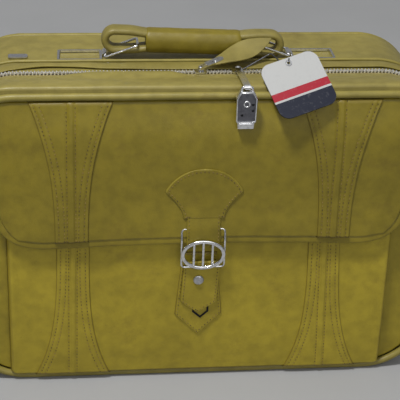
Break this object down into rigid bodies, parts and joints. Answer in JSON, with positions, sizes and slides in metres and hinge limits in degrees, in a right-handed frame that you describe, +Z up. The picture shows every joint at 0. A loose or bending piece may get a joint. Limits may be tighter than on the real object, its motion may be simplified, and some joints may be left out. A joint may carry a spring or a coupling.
{
  "type": "soft-sided suitcase",
  "caption": "Soft-sided vinyl suitcase with a zipped front lid, a flap pocket with buckle strap, a padded handle on wire bails, a leaf zip pull, a padlock and a hang tag.",
  "frame": {"origin": "middle of the flat base, on the floor", "axes": "+X to the right seen from the front, +Y from the front flap to the back panel, +Z up"},
  "size_m": [0.5884, 0.2325, 0.4224],
  "materials": {
    "vinyl": "soft grained vinyl, satin",
    "vinyl_trim": "sewn vinyl trim, satin",
    "chrome": "polished, lightly scratched",
    "steel": "satin",
    "zip_tape": "woven tape",
    "zip_metal": "dull",
    "tag_card": "printed plastic, glossy",
    "stiffener": "fibreboard"
  },
  "bodies": {
    "case": {"case_gusset": "vinyl", "back_panel": "vinyl", "rear_piping": "vinyl_trim", "zip_tape_rear": "zip_tape", "zip_teeth_rear": "zip_metal", "zip_placket": "vinyl", "tray_welt": "vinyl_trim", "frame_hoop": "steel", "handle_plate_left": "chrome", "handle_plate_right": "chrome", "handle_stiffener": "stiffener", "badge_plate": "chrome"},
    "lid": {"front_panel": "vinyl", "lid_gusset": "vinyl", "front_piping": "vinyl_trim", "zip_tape_front": "zip_tape", "zip_teeth_front": "zip_metal", "pocket_panel": "vinyl", "pocket_gusset": "vinyl", "pocket_strap_left": "vinyl_trim", "pocket_strap_right": "vinyl_trim", "strap_base_patch": "vinyl_trim", "strap_catch": "chrome", "snap_stud": "steel"},
    "flap": {"flap_panel": "vinyl", "flap_binding": "vinyl_trim", "flap_strap_left": "vinyl_trim", "flap_strap_right": "vinyl_trim", "fan_patch": "vinyl_trim", "strap_tongue": "vinyl_trim", "buckle_loop": "chrome", "buckle_plate": "chrome", "strap_tip": "vinyl_trim", "snap_cap": "steel"},
    "slider_left": {"zip_slider_left": "chrome"},
    "leaf": {"pull_link": "chrome", "leaf_pull": "vinyl", "pull_rivet": "chrome"},
    "slider_right": {"zip_slider_right": "chrome", "tag_hook": "chrome"},
    "puller": {"puller_link": "chrome"},
    "padlock": {"lock_body": "chrome", "lock_shackle": "chrome", "lock_cylinder": "chrome", "lock_rivets": "chrome"},
    "tag": {"tag_plate": "tag_card", "tag_eyelet": "chrome"},
    "handle": {"handle_core": "vinyl", "handle_sleeve": "vinyl"},
    "bail_left": {"bail_left": "chrome"},
    "bail_right": {"bail_right": "chrome"}
  },
  "joints": [
    {"name": "lid_hinge", "type": "hinge", "parent": "case", "child": "lid", "pos_m": [0, -0.1, 0.0045], "axis": [1, 0, 0], "range_deg": [0, 80]},
    {"name": "flap_hinge", "type": "hinge", "parent": "lid", "child": "flap", "pos_m": [0, -0.104, 0.376], "axis": [-1, 0, 0], "range_deg": [0, 100]},
    {"name": "slider_left_slide", "type": "slide", "parent": "lid", "child": "slider_left", "axis": [-1, 0, 0], "range_m": [0, 0.19]},
    {"name": "leaf_swing", "type": "hinge", "parent": "slider_left", "child": "leaf", "pos_m": [0, -0.02865, 0.38735], "axis": [0.3584, -0.9336, 0], "range_deg": [0, 140]},
    {"name": "slider_right_slide", "type": "slide", "parent": "lid", "child": "slider_right", "axis": [1, 0, 0], "range_m": [0, 0.15]},
    {"name": "puller_swing", "type": "hinge", "parent": "slider_right", "child": "puller", "pos_m": [0.0435, -0.02865, 0.38735], "axis": [-1, 0, 0], "range_deg": [0, 45]},
    {"name": "padlock_swing", "type": "hinge", "parent": "puller", "child": "padlock", "pos_m": [0.0435, -0.1146, 0.4], "axis": [-1, 0, 0], "range_deg": [0, 100]},
    {"name": "tag_swing", "type": "hinge", "parent": "slider_right", "child": "tag", "pos_m": [0.0945, -0.076, 0.41218], "axis": [-1, 0, 0], "range_deg": [0, 50]},
    {"name": "handle_lift", "type": "slide", "parent": "case", "child": "handle", "axis": [0, 0, 1], "range_m": [0, 0.02]},
    {"name": "bail_left_swing", "type": "hinge", "parent": "case", "child": "bail_left", "pos_m": [-0.1116, 0.024, 0.3856], "axis": [0, -1, 0], "range_deg": [0, 36]},
    {"name": "bail_right_swing", "type": "hinge", "parent": "case", "child": "bail_right", "pos_m": [0.1116, 0.024, 0.3856], "axis": [0, 1, 0], "range_deg": [0, 36]}
  ],
  "couplings": [
    {"joint": "padlock_swing", "follows": "flap_hinge", "ratio": 1},
    {"joint": "tag_swing", "follows": "flap_hinge", "ratio": 0.5},
    {"joint": "bail_left_swing", "follows": "handle_lift", "rad_per_m": 31.416},
    {"joint": "bail_right_swing", "follows": "handle_lift", "rad_per_m": 31.416}
  ]
}
